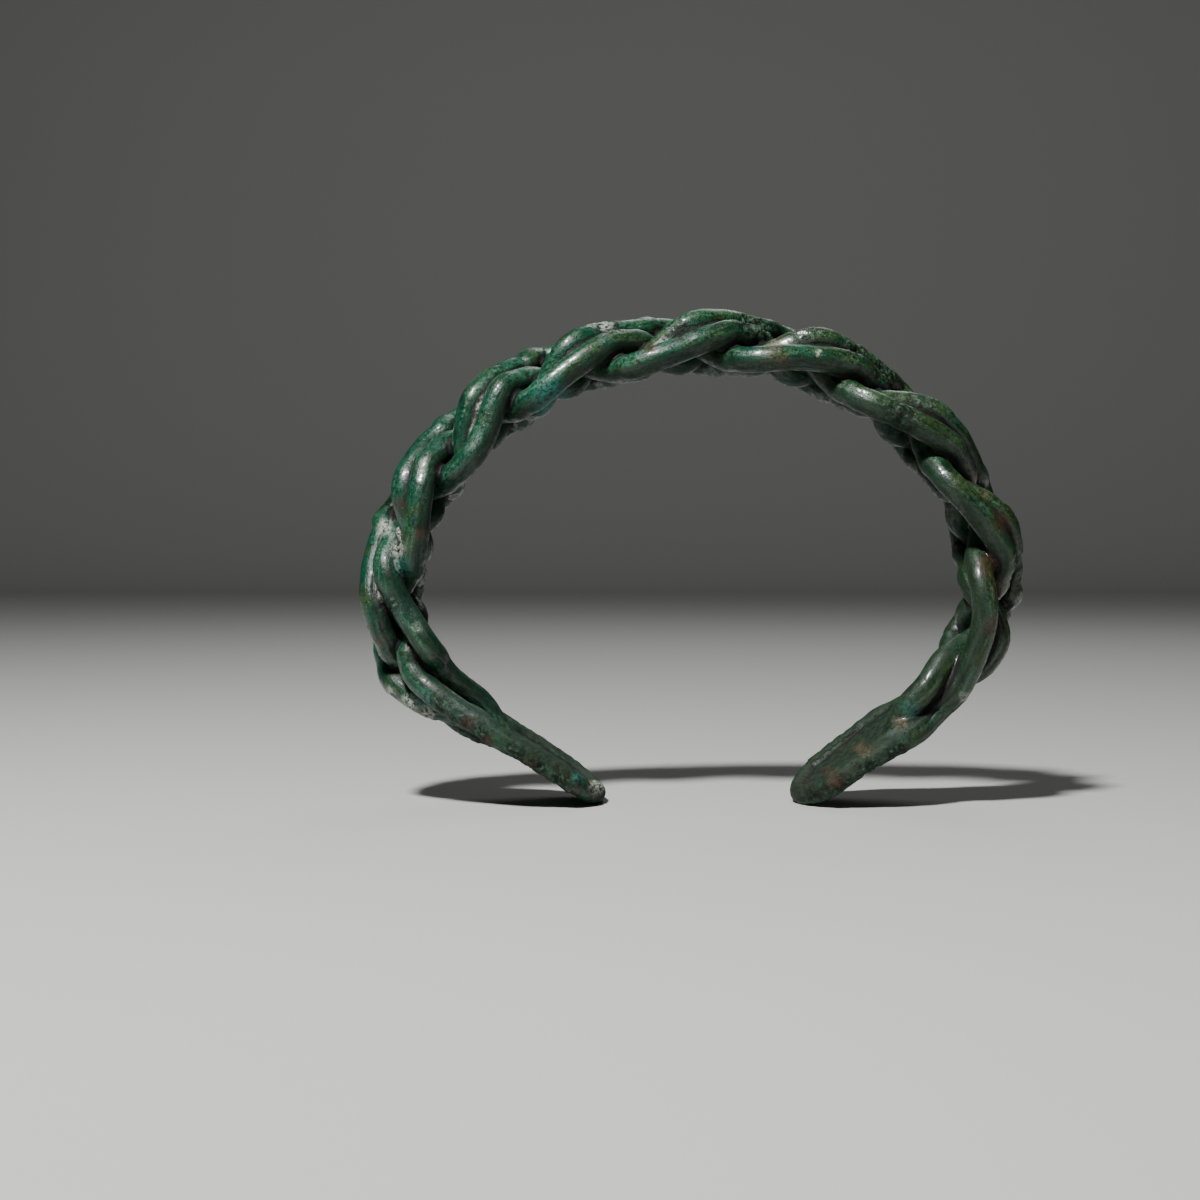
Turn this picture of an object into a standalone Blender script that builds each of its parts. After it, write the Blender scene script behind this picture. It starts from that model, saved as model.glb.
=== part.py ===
"""Penannular bracelet plaited from three doubled bronze wires.

Six round wires run side by side in three pairs. The pairs are plaited along a hoop that is open
at the bottom, and at each end all six are hammered together into a flat, oval terminal, so the
whole bracelet is one piece of metal. It stands on the tips of its two terminals.

Metres, +Z up, seen from -Y. The origin is on the floor under the middle of the bracelet.
"""

import math

import bmesh
import bpy
import numpy as np

# Driving sizes
MM = 0.001
HOOP_WIDTH = 66.6 * MM            # widest, between the middle lines of the plait
HOOP_HEIGHT = 50.6 * MM           # from the middle of the tips to the middle line at the crown
WIRE_DIAMETER = 2.80 * MM
WIRE_CLEARANCE = 0.14 * MM        # kept between two wires that lie against each other
TERMINAL_LENGTH = 20.0 * MM
TERMINAL_WIDTH = 15.6 * MM
TERMINAL_THICKNESS = 2.2 * MM
TERMINAL_NECK = 11.0 * MM         # width where the wires leave the terminal
TAPER_FROM = 11.0 * MM            # a terminal narrows toward its neck from this far from its tip
FORGED_LENGTH = 13.0 * MM         # the wires are beaten into each other up to here
TIP_RADIUS = 6.5 * MM             # how far the oval end of a terminal takes to reach full width
EDGE_ROUNDING = 0.6 * MM
TIP_HEIGHT = 0.30 * MM            # middle of a terminal's end over the floor it is worn flat on
WIRE_END = 4.0 * MM               # the wires end this far inside a terminal's tip

# The hoop's middle line, clockwise from the left tip, as shares of its width and height
HOOP_LINE = (
    (-0.150, 0.000), (-0.237, 0.081), (-0.331, 0.157), (-0.420, 0.234), (-0.483, 0.342),
    (-0.503, 0.474), (-0.480, 0.612), (-0.427, 0.733), (-0.354, 0.834), (-0.266, 0.917),
    (-0.167, 0.969), (-0.062, 0.994), (0.044, 1.000), (0.149, 0.980), (0.249, 0.932),
    (0.339, 0.857), (0.415, 0.757), (0.471, 0.637), (0.497, 0.502), (0.483, 0.365),
    (0.419, 0.267), (0.346, 0.183), (0.261, 0.092), (0.167, 0.000),
)

# Each time a pair of wires passes the front edge, as a share of the hoop's length
PASSES = (0.131, 0.2025, 0.274, 0.347, 0.4135, 0.4964, 0.574, 0.663, 0.7455, 0.819, 0.890)
# How much further out each of those passes stands, in wire diameters
SWELL = (0.20, 0.10, 0.00, 0.35, 0.10, 0.10, 0.25, 0.15, 0.20, 0.00, 0.00)
PLAIT_START = 0.163               # the plaiting opens into the terminals at these shares
PLAIT_END = 0.880
FAN_SHARE = 0.160                 # the wires start to spread into one row this far from a tip
FAN_LENGTH_SHARE = 0.060          # and lie flat in it after this length
PRESS_SHARE = 0.225               # the plait is pressed thinner from here towards a tip,
PRESS_LENGTH_SHARE = 0.08         # over this length,
PRESS_KEEP = 0.50                 # down to this share of its height
LEFT_ROW = (1, 0, 2, 3, 5, 4)     # the wires of each terminal's row, front to back
RIGHT_ROW = (1, 3, 0, 2, 5, 4)
RIGHT_TWIST = 5.0                 # degrees by which the right terminal's inner face turns to the front
# Where a wire strays from its lane: wire, place and reach as shares of the hoop's length, then how
# far toward the front and how far out, in wire diameters
STRAYS = (
    (0, 0.160, 0.0235, 0.00, 0.64),
    (2, 0.175, 0.0250, 0.35, 0.30),
    (3, 0.175, 0.0300, -0.20, -0.55),
    (1, 0.335, 0.0240, 0.20, -0.90),
    (5, 0.872, 0.0300, 0.00, 0.65),
    (2, 0.878, 0.0280, 0.00, 0.60),
    (4, 0.885, 0.0300, 0.00, 0.60),
    (3, 0.886, 0.0200, 1.20, -0.20),
    (1, 0.886, 0.0160, -0.80, 0.15),
)

# Where the two wires of a pair lie as it turns through the plait: the turn in degrees (0 at the
# front edge), depth toward the front, and height over the hoop's middle line, in wire diameters
OUTER_LANE = (
    (-90, -0.35, -0.45), (-45, 0.70, -0.32), (0, 1.23, 0.30), (45, 0.95, 0.68),
    (90, -0.14, 0.42), (135, -1.23, 0.00), (180, -1.61, -0.15), (225, -1.26, 0.15),
)
INNER_LANE = (
    (-90, 0.21, -0.60), (-45, 1.23, -0.68), (0, 1.58, -0.28), (45, 1.19, 0.04),
    (90, 0.21, -0.12), (135, -0.70, -0.30), (180, -1.19, 0.08), (225, -0.84, 0.24),
)
FRONT_HEIGHT = 0.76               # no wire lies further in or out than this, in wire diameters,
BACK_HEIGHT = 0.48                # nor further than this along the back edge

# Fineness
STATIONS = 330                    # where the wires push each other apart
ROUNDS = 700
REACH = 9                         # stations each way that can touch
SIDEWAYS = (1.35, 0.55)           # pushed wires give way in depth before they rise
RINGS = 70                        # rings of each finished wire
WIRE_SIDES_RESOLUTION = 2

STRANDS = 3
TURN = 2 * math.pi / STRANDS


def smooth_step(x):
    x = np.clip(x, 0.0, 1.0)
    return x * x * (3.0 - 2.0 * x)


def blur(values, reach):
    """Average along a line, with both ends carried on straight."""
    kernel = np.hanning(2 * reach + 1)
    kernel /= kernel.sum()
    padded = np.pad(values, reach, mode="reflect", reflect_type="odd")
    return np.convolve(padded, kernel, "valid")


def through(points, steps):
    """A smooth curve through the points."""
    points = np.array(points, float)
    before = 2 * points[0] - points[1]
    after = 2 * points[-1] - points[-2]
    chain = np.vstack([before, points, after])
    t = np.linspace(0.0, 1.0, steps, endpoint=False)[:, None]
    spans = []
    for a, b, c, d in zip(chain, chain[1:], chain[2:], chain[3:]):
        cubic = (3 * b - a - 3 * c + d) * t**3
        square = (2 * a - 5 * b + 4 * c - d) * t**2
        spans.append(0.5 * (2 * b + (c - a) * t + square + cubic))
    return np.vstack(spans + [points[-1:]])


def run_length(points):
    steps = np.linalg.norm(np.diff(points, axis=0), axis=1)
    return np.concatenate([[0.0], np.cumsum(steps)])


class Hoop:
    """The middle line at even stations, with its direction and its outward normal."""

    def __init__(self, count):
        size = np.array([HOOP_WIDTH, HOOP_HEIGHT])
        line = through(np.array(HOOP_LINE) * size, 24) + np.array([0.0, TIP_HEIGHT])
        run = run_length(line)
        self.length = run[-1]
        self.s = np.linspace(0.0, self.length, count)
        self.middle = np.stack([np.interp(self.s, run, line[:, k]) for k in (0, 1)], -1)
        along = np.gradient(self.middle, axis=0)
        along /= np.linalg.norm(along, axis=1, keepdims=True)
        self.outward = np.stack([-along[:, 1], along[:, 0]], -1)

    def place(self, lane):
        """World points of lanes given as (depth toward the front, height over the line)."""
        flat = self.middle + lane[..., 1:2] * self.outward
        return np.stack([flat[..., 0], -lane[..., 0], flat[..., 1]], -1)

    def point(self, s, depth, height=0.0):
        x, z = (np.interp(s, self.s, self.middle[:, k]) for k in (0, 1))
        nx, nz = (np.interp(s, self.s, self.outward[:, k]) for k in (0, 1))
        return (x + height * nx, -depth, z + height * nz)


def lane_at(table, turn):
    """Depth and height of a lane at each turn of the plait."""
    lane = np.array(table, float)
    lap = np.array([360.0, 0.0, 0.0])
    smooth = through(np.vstack([lane - lap, lane, lane + lap]), 12)
    degrees = (np.degrees(turn) + 90.0) % 360.0 - 90.0
    return [np.interp(degrees, smooth[:, 0], smooth[:, k]) for k in (1, 2)]


def plait_lanes(hoop):
    """The six wires in their lanes, in pairs: outer wire, inner wire."""
    share = hoop.s / hoop.length
    phase = np.arange(len(PASSES)) * TURN
    turning = np.interp(np.clip(share, PLAIT_START, PLAIT_END), PASSES, phase)
    turning = blur(turning, 12)
    swell = np.interp(share, PASSES, SWELL)
    lanes = []
    for strand in range(STRANDS):
        turn = turning - TURN * strand
        for table in (OUTER_LANE, INNER_LANE):
            depth, height = lane_at(table, turn)
            front = np.clip(depth, 0.0, 1.0)
            lanes.append(np.stack([depth, height + swell * front], -1))
    return np.array(lanes) * WIRE_DIAMETER


def terminal_half_width(s):
    """Half the width of a terminal at a distance from its tip: an oval end, then a slow taper."""
    s = np.asarray(s, float)
    end = np.clip(1.0 - s / TIP_RADIUS, 0.0, 1.0)
    oval = np.sqrt(np.clip(1.0 - end**2, 0.0, 1.0))
    taper = smooth_step((s - TAPER_FROM) / (TERMINAL_LENGTH - TAPER_FROM))
    return 0.5 * (TERMINAL_WIDTH * (1.0 - taper) + TERMINAL_NECK * taper) * oval


def spread_into_terminals(hoop, lanes):
    """Press the plait thinner and lay its six wires in one row at each end, as they arrive."""
    fan = FAN_SHARE * hoop.length
    ramp = FAN_LENGTH_SHARE * hoop.length
    ends = ((hoop.s, LEFT_ROW, 0.0), (hoop.length - hoop.s, RIGHT_ROW, RIGHT_TWIST))
    for from_tip, order, twist in ends:
        pressed = smooth_step((PRESS_SHARE * hoop.length - from_tip) / (PRESS_LENGTH_SHARE * hoop.length))
        lanes[..., 1] *= 1.0 - (1.0 - PRESS_KEEP) * pressed
        row = terminal_half_width(np.maximum(from_tip, WIRE_END)) - 0.45 * WIRE_DIAMETER
        weight = smooth_step((fan - from_tip) / ramp)[:, None]
        for place, wire in enumerate(order):
            slot = row * (1.0 - 2.0 * place / (len(order) - 1))
            target = np.stack([slot, slot * math.tan(math.radians(twist))], -1)
            lanes[wire] = lanes[wire] * (1.0 - weight) + target * weight
    for wire, place, reach, depth, height in STRAYS:
        near = np.exp(-((hoop.s / hoop.length - place) / reach) ** 2)[:, None]
        lanes[wire] += near * np.array([depth, height]) * WIRE_DIAMETER
    return lanes


def bending(points, reach):
    """How far each point is from an evenly bent wire."""
    out = np.zeros_like(points)
    n = reach
    near = 4 * (points[:, n:-3 * n] + points[:, 3 * n:-n])
    out[:, 2 * n:-2 * n] = near - points[:, :-4 * n] - points[:, 4 * n:] - 6 * points[:, 2 * n:-2 * n]
    return out


def contact_push(points):
    """Push apart every two wires that come closer than one diameter."""
    push = np.zeros_like(points)
    wires, count = points.shape[:2]
    apart = WIRE_DIAMETER + WIRE_CLEARANCE
    for i in range(wires):
        for j in range(i + 1, wires):
            for shift in range(-REACH, REACH + 1):
                a, b = max(0, -shift), min(count, count - shift)
                gap = points[i, a:b] - points[j, a + shift:b + shift]
                distance = np.sqrt((gap * gap).sum(1))
                overlap = np.maximum(apart - distance, 0.0)
                if not overlap.any():
                    continue
                force = gap * (overlap / np.maximum(distance, 1e-9) * 1.5 / REACH)[:, None]
                push[i, a:b] += force
                push[j, a + shift:b + shift] -= force
    return push


def settle(hoop, lanes):
    """Let the wires bend and lie against each other, each near its own lane."""
    home = lanes.copy()
    to_tip = np.minimum(hoop.s, hoop.length - hoop.s)
    free = smooth_step(4.0 * to_tip / FORGED_LENGTH - 3.0)[None, :, None]
    step = 0.09 * WIRE_DIAMETER

    def to_lane(move):
        rise = move[..., 0] * hoop.outward[:, 0] + move[..., 2] * hoop.outward[:, 1]
        return np.stack([-move[..., 1], rise], -1)

    for done in range(ROUNDS):
        # the last rounds only push the wires apart
        ease = 1.0 - smooth_step(8.0 * done / ROUNDS - 4.5)
        points = hoop.place(lanes)
        lanes += 0.05 * ease * to_lane(bending(points, 1) + bending(points, 4))
        lanes += 0.035 * ease * (home - lanes)
        front = smooth_step(lanes[..., 0] / (1.2 * WIRE_DIAMETER) + 0.6)
        reach = WIRE_DIAMETER * (BACK_HEIGHT + (FRONT_HEIGHT - BACK_HEIGHT) * front)
        inside = np.clip(lanes[..., 1], -reach, np.maximum(reach, home[..., 1]))
        lanes[..., 1] -= 0.3 * ease * (lanes[..., 1] - inside)
        push = to_lane(contact_push(hoop.place(lanes))) * SIDEWAYS
        lanes += np.clip(push, -step, step) * free
    return lanes


def wire_radius(from_tip):
    """A wire's share of its full radius: it is beaten thinner where it enters a terminal."""
    beaten = smooth_step((1.1 * TERMINAL_LENGTH - from_tip) / (0.7 * TERMINAL_LENGTH))
    thin = 0.92 * TERMINAL_THICKNESS / WIRE_DIAMETER
    return 1.0 - (1.0 - thin) * beaten


def material(name, colour, roughness, metallic):
    made = bpy.data.materials.new(name)
    made.use_nodes = True
    shader = made.node_tree.nodes["Principled BSDF"]
    shader.inputs["Base Color"].default_value = (*colour, 1.0)
    shader.inputs["Roughness"].default_value = roughness
    shader.inputs["Metallic"].default_value = metallic
    return made


def collection(name):
    made = bpy.data.collections.new(name)
    bpy.context.scene.collection.children.link(made)
    return made


def as_guide(obj):
    obj.hide_render = True
    obj.display_type = "WIRE"
    return obj


def curve_to_mesh(obj, into):
    """Replace a curve by its mesh, with the loose end caps welded on."""
    evaluated = obj.evaluated_get(bpy.context.evaluated_depsgraph_get())
    mesh = bpy.data.meshes.new_from_object(evaluated)
    bm = bmesh.new()
    bm.from_mesh(mesh)
    bmesh.ops.remove_doubles(bm, verts=bm.verts, dist=0.01 * MM)
    bmesh.ops.recalc_face_normals(bm, faces=bm.faces)
    bm.to_mesh(mesh)
    bm.free()
    made = bpy.data.objects.new(obj.name + "_solid", mesh)
    made.matrix_world = obj.matrix_world
    into.objects.link(made)
    bpy.data.objects.remove(obj)
    return made


def wire_solid(name, hoop, lane, into):
    """One wire as a tube along its settled line."""
    stations = np.linspace(WIRE_END, hoop.length - WIRE_END, RINGS)
    curve = bpy.data.curves.new(name, "CURVE")
    curve.dimensions = "3D"
    curve.bevel_depth = 0.5 * WIRE_DIAMETER
    curve.bevel_resolution = WIRE_SIDES_RESOLUTION
    curve.use_fill_caps = True
    spline = curve.splines.new("POLY")
    spline.points.add(RINGS - 1)
    for point, s in zip(spline.points, stations):
        depth, height = (np.interp(s, hoop.s, lane[:, k]) for k in (0, 1))
        point.co = (*hoop.point(s, depth, height), 1.0)
        point.radius = float(wire_radius(min(s, hoop.length - s)))
    obj = bpy.data.objects.new(name, curve)
    into.objects.link(obj)
    return curve_to_mesh(obj, into)


def terminal_solid(name, hoop, right, twist, into):
    """A flat oval plate that follows the hoop from its tip."""
    bm = bmesh.new()
    bmesh.ops.create_grid(bm, x_segments=14, y_segments=8, size=1.0)
    for vert in bm.verts:
        along = 0.5 * (vert.co.x + 1.0)
        from_tip = TERMINAL_LENGTH * (0.002 + 0.998 * along**1.6)
        depth = float(terminal_half_width(from_tip)) * vert.co.y
        s = hoop.length - from_tip if right else from_tip
        vert.co = hoop.point(s, depth, depth * math.tan(math.radians(twist)))
    mesh = bpy.data.meshes.new(name)
    bm.to_mesh(mesh)
    bm.free()
    obj = bpy.data.objects.new(name, mesh)
    into.objects.link(obj)
    plate = obj.modifiers.new("Thickness", "SOLIDIFY")
    plate.thickness = TERMINAL_THICKNESS
    plate.offset = 0.0
    rounding = obj.modifiers.new("Rounded edge", "BEVEL")
    rounding.width = EDGE_ROUNDING
    rounding.segments = 2
    rounding.limit_method = "ANGLE"
    rounding.angle_limit = math.radians(50)
    return as_guide(obj)


def floor_cutter(width, into):
    """Everything under the floor: the tips are worn flat where the bracelet stands."""
    bpy.ops.mesh.primitive_cube_add(size=1.0)
    obj = bpy.context.object
    obj.name = "floor_cutter"
    depth = 4 * MM
    obj.scale = (2 * width, width, depth)
    obj.location = (0.0, 0.0, -0.5 * depth)
    bpy.ops.object.transform_apply(location=True, rotation=False, scale=True)
    for old in list(obj.users_collection):
        old.objects.unlink(obj)
    into.objects.link(obj)
    return as_guide(obj)


def shells(bm):
    """The mesh's separate closed surfaces, as lists of faces, parted where two only touch."""
    waiting = set(bm.faces)
    found = []
    while waiting:
        shell, border = [], [waiting.pop()]
        while border:
            face = border.pop()
            shell.append(face)
            for edge in face.edges:
                if len(edge.link_faces) > 2:
                    continue
                for other in edge.link_faces:
                    if other in waiting:
                        waiting.remove(other)
                        border.append(other)
        found.append(shell)
    return found


def as_solid_metal(obj, into):
    """The object with its modifiers done, and no pocket left sealed between touching wires."""
    evaluated = obj.evaluated_get(bpy.context.evaluated_depsgraph_get())
    mesh = bpy.data.meshes.new_from_object(evaluated)
    bm = bmesh.new()
    bm.from_mesh(mesh)
    bmesh.ops.triangulate(bm, faces=bm.faces)
    outside = max(shells(bm), key=len)
    kept = set(outside)
    pockets = [face for face in bm.faces if face not in kept]
    bmesh.ops.delete(bm, geom=pockets, context="FACES")
    bm.to_mesh(mesh)
    bm.free()
    made = bpy.data.objects.new("plaited_bracelet", mesh)
    mesh.name = "plaited_bracelet"
    into.objects.link(made)
    return made


def centre_over_origin(hoop, lanes):
    """Move the hoop sideways so that the wires' box is centred over the origin."""
    x = hoop.place(lanes)[..., 0]
    hoop.middle[:, 0] -= 0.5 * (x.min() + x.max())
    lanes[..., 0] -= 0.5 * (lanes[..., 0].min() + lanes[..., 0].max())


def main():
    for obj in list(bpy.data.objects):
        bpy.data.objects.remove(obj)
    bracelet = collection("plaited_bracelet")
    pieces = collection("pieces")
    cutters = collection("cutters")

    hoop = Hoop(STATIONS)
    lanes = spread_into_terminals(hoop, plait_lanes(hoop))
    lanes = settle(hoop, lanes)
    centre_over_origin(hoop, lanes)

    for index, lane in enumerate(lanes[1:], 2):
        as_guide(wire_solid(f"wire_{index}", hoop, lane, pieces))
    terminal_solid("left_terminal", hoop, False, 0.0, pieces)
    terminal_solid("right_terminal", hoop, True, RIGHT_TWIST, pieces)
    first = as_guide(wire_solid("wire_1", hoop, lanes[0], cutters))

    forged = first.modifiers.new("Forged together", "BOOLEAN")
    forged.operation = "UNION"
    forged.operand_type = "COLLECTION"
    forged.collection = pieces
    forged.solver = "EXACT"
    worn = first.modifiers.new("Worn flat", "BOOLEAN")
    worn.operation = "DIFFERENCE"
    worn.object = floor_cutter(HOOP_WIDTH, cutters)
    worn.solver = "EXACT"

    whole = as_solid_metal(first, bracelet)
    patina = material("green_patina", (0.10, 0.24, 0.18), 0.55, 0.35)
    whole.data.materials.append(patina)
    whole.data.shade_smooth()


main()
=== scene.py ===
# %% [markdown]
# # A plaited bronze bracelet
# The real object is an ancient open bracelet. Three doubled bronze wires are plaited along a hoop, and
# at each end all of them are hammered into one flat oval terminal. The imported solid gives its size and
# its place. This lesson builds a finer surface in the same place, ages it, and gives it a green patina.

# %% Load the solid
import math

import bmesh
import bpy
import numpy as np
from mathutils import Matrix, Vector, noise


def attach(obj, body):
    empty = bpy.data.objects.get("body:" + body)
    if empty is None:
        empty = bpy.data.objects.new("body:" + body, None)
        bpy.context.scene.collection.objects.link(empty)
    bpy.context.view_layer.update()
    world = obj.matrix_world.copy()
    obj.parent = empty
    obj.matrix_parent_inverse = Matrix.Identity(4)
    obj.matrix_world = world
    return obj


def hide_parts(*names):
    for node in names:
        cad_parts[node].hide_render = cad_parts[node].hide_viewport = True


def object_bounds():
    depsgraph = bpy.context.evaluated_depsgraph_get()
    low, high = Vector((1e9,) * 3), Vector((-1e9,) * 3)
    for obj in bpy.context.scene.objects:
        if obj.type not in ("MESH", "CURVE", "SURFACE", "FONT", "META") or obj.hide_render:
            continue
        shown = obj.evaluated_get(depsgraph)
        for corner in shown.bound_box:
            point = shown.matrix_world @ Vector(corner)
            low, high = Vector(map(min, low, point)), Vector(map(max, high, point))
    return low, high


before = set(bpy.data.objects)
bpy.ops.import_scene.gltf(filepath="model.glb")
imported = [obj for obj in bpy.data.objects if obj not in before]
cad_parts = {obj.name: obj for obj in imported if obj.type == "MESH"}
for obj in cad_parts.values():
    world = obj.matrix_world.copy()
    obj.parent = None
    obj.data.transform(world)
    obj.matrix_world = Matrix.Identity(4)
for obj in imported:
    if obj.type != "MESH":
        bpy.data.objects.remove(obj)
solid_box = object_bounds()
MM = 0.001
scene = bpy.context.scene
print("solid box in mm:", [[round(c / MM, 2) for c in corner] for corner in solid_box])

# %% [markdown]
# ## The view
# A photograph taken from close by shows the near edge of the band a little larger than the far edge.
# The camera stands 27 cm in front of the hoop, a little over its middle, and looks slightly down. Its
# long lens keeps the ring from bulging.

# %% Camera
CAMERA_PLACE = (-10.66 * MM, -270.0 * MM, 32.4 * MM)
CAMERA_TILT = 87.9                # degrees from straight down
CAMERA_LENS = 72.96               # millimetres, as is the sensor's width
SENSOR_WIDTH = 36.0
NEAREST_SEEN = 0.01               # metres

camera = bpy.data.objects.new("camera", bpy.data.cameras.new("camera"))
camera.data.lens = CAMERA_LENS
camera.data.sensor_width = SENSOR_WIDTH
camera.data.clip_start = NEAREST_SEEN
camera.location = CAMERA_PLACE
camera.rotation_euler = (math.radians(CAMERA_TILT), 0.0, 0.0)
scene.collection.objects.link(camera)
scene.camera = camera
print("camera stands", round(-CAMERA_PLACE[1] / MM), "mm in front of the hoop")

# %% [markdown]
# ## The floor
# A photographer's sweep is one pale sheet that lies flat and then curves up behind the object, so no
# line crosses the picture. A grid makes the flat part, its back edge is spun a quarter turn, and the
# end of that is drawn straight up.

# %% Sweep
FLOOR_REACH = 700 * MM
SWEEP_RADIUS = 250 * MM
SWEEP_HEIGHT = 900 * MM
SWEEP_STEPS = 24
PAPER_COLOUR = (0.38, 0.38, 0.37)
PAPER_ROUGHNESS = 0.85


def plain_material(name, colour, roughness):
    made = bpy.data.materials.new(name)
    made.use_nodes = True
    shader = made.node_tree.nodes["Principled BSDF"]
    shader.inputs["Base Color"].default_value = (*colour, 1.0)
    shader.inputs["Roughness"].default_value = roughness
    return made


def object_from(name, bm):
    mesh = bpy.data.meshes.new(name)
    bm.to_mesh(mesh)
    bm.free()
    made = bpy.data.objects.new(name, mesh)
    scene.collection.objects.link(made)
    return made


def back_edges(bm, axis):
    """The open edges whose two ends lie furthest along an axis."""
    reach = max(vert.co[axis] for vert in bm.verts) - 1e-6
    return [edge for edge in bm.edges if all(vert.co[axis] > reach for vert in edge.verts)]


sweep = bmesh.new()
bmesh.ops.create_grid(sweep, x_segments=4, y_segments=4, size=FLOOR_REACH)
centre = (0.0, FLOOR_REACH, SWEEP_RADIUS)
bmesh.ops.spin(sweep, geom=back_edges(sweep, 1), cent=centre, axis=(1, 0, 0), dvec=(0, 0, 0),
               angle=math.pi / 2, steps=SWEEP_STEPS, use_merge=False)
drawn = bmesh.ops.extrude_edge_only(sweep, edges=back_edges(sweep, 2))
raised = [item for item in drawn["geom"] if isinstance(item, bmesh.types.BMVert)]
bmesh.ops.translate(sweep, verts=raised, vec=(0.0, 0.0, SWEEP_HEIGHT))
bmesh.ops.recalc_face_normals(sweep, faces=sweep.faces)
floor = object_from("floor", sweep)
floor.data.shade_smooth()
floor.data.materials.append(plain_material("pale_paper", PAPER_COLOUR, PAPER_ROUGHNESS))
print("sweep has", len(floor.data.polygons), "faces")

# %% [markdown]
# ## The light
# Old bronze shows its form by highlights that run along each wire. One small soft light hangs high in
# front, to the left. A very weak one fills from the right, and a broad one behind lifts the far edge.

# %% Lights
LIGHTS = {
    # name: (place in mm, size in mm, watts)
    "key": ((-115, -200, 355), 50, 4.0),
    "fill": ((330, -200, 130), 220, 0.04),
    "back": ((60, 300, 320), 240, 0.28),
}
AIM_HEIGHT = 25.0 * MM            # the lights point at the hoop's middle, this far over the floor
ROOM_COLOUR = (0.80, 0.84, 0.88)
ROOM_STRENGTH = 0.020


def soft_light(name, place, size, watts):
    lamp = bpy.data.lights.new(name, "AREA")
    lamp.shape = "DISK"
    lamp.size = size * MM
    lamp.energy = watts
    made = bpy.data.objects.new(name, lamp)
    made.location = Vector(place) * MM
    aim = Vector((0.0, 0.0, AIM_HEIGHT)) - made.location
    made.rotation_euler = aim.to_track_quat("-Z", "Y").to_euler()
    scene.collection.objects.link(made)


for light_name, (place, size, watts) in LIGHTS.items():
    soft_light(light_name, place, size, watts)
world = bpy.data.worlds.new("soft_room")
world.use_nodes = True
background = world.node_tree.nodes["Background"]
background.inputs["Color"].default_value = (*ROOM_COLOUR, 1.0)
background.inputs["Strength"].default_value = ROOM_STRENGTH
scene.world = world
print("lights:", ", ".join(LIGHTS))

# %% [markdown]
# ## The hoop
# Everything follows one line: the middle of the plait, from the left tip over the crown to the right
# tip. It is a smooth curve through a few points, given as shares of the hoop's width and height.

# %% Hoop line
HOOP_WIDTH = 66.6                 # millimetres, as are all lengths of the plait below
HOOP_HEIGHT = 50.6
TIP_HEIGHT = 0.30                 # middle of a terminal's end over the floor
STATIONS = 330                    # where the wires push each other apart
LINE_STEPS = 24                   # points of the smooth curve from one given point to the next
HOOP_LINE = (
    (-0.150, 0.000), (-0.237, 0.081), (-0.331, 0.157), (-0.420, 0.234), (-0.483, 0.342),
    (-0.503, 0.474), (-0.480, 0.612), (-0.427, 0.733), (-0.354, 0.834), (-0.266, 0.917),
    (-0.167, 0.969), (-0.062, 0.994), (0.044, 1.000), (0.149, 0.980), (0.249, 0.932),
    (0.339, 0.857), (0.415, 0.757), (0.471, 0.637), (0.497, 0.502), (0.483, 0.365),
    (0.419, 0.267), (0.346, 0.183), (0.261, 0.092), (0.167, 0.000),
)


def smooth_step(x):
    x = np.clip(x, 0.0, 1.0)
    return x * x * (3.0 - 2.0 * x)


def blur(values, reach):
    """Average along a line, with both ends carried on straight."""
    kernel = np.hanning(2 * reach + 1)
    kernel /= kernel.sum()
    padded = np.pad(values, reach, mode="reflect", reflect_type="odd")
    return np.convolve(padded, kernel, "valid")


def through(points, steps):
    """A smooth curve through the points."""
    points = np.array(points, float)
    before = 2 * points[0] - points[1]
    after = 2 * points[-1] - points[-2]
    chain = np.vstack([before, points, after])
    t = np.linspace(0.0, 1.0, steps, endpoint=False)[:, None]
    spans = []
    for a, b, c, d in zip(chain, chain[1:], chain[2:], chain[3:]):
        cubic = (3 * b - a - 3 * c + d) * t**3
        square = (2 * a - 5 * b + 4 * c - d) * t**2
        spans.append(0.5 * (2 * b + (c - a) * t + square + cubic))
    return np.vstack(spans + [points[-1:]])


class Hoop:
    """The middle line at even stations, with its outward normal."""

    def __init__(self, count):
        size = np.array([HOOP_WIDTH, HOOP_HEIGHT])
        line = through(np.array(HOOP_LINE) * size, LINE_STEPS) + np.array([0.0, TIP_HEIGHT])
        steps = np.linalg.norm(np.diff(line, axis=0), axis=1)
        run = np.concatenate([[0.0], np.cumsum(steps)])
        self.length = run[-1]
        self.s = np.linspace(0.0, self.length, count)
        self.middle = np.stack([np.interp(self.s, run, line[:, k]) for k in (0, 1)], -1)
        along = np.gradient(self.middle, axis=0)
        along /= np.linalg.norm(along, axis=1, keepdims=True)
        self.outward = np.stack([-along[:, 1], along[:, 0]], -1)

    def place(self, lane):
        """Points of lanes given as (depth toward the front, height over the line)."""
        flat = self.middle + lane[..., 1:2] * self.outward
        return np.stack([flat[..., 0], -lane[..., 0], flat[..., 1]], -1)

    def points(self, s, depth, height):
        """Points at distances along the line, each with a depth and a height."""
        x, z = (np.interp(s, self.s, self.middle[:, k]) for k in (0, 1))
        nx, nz = (np.interp(s, self.s, self.outward[:, k]) for k in (0, 1))
        return np.stack([x + height * nx, -depth + 0.0 * x, z + height * nz], -1)


hoop = Hoop(STATIONS)
print("hoop line is", round(hoop.length, 1), "mm from tip to tip")

# %% [markdown]
# ## The plait
# A three-strand plait has a rhythm: each strand crosses to the other edge and back, a third of a turn
# behind the one before. One small table says where the outer wire of a pair lies through that turn, and
# a second one does the same for the inner wire. The same two tables serve all three strands.

# %% Lanes
WIRE_DIAMETER = 2.80
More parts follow.
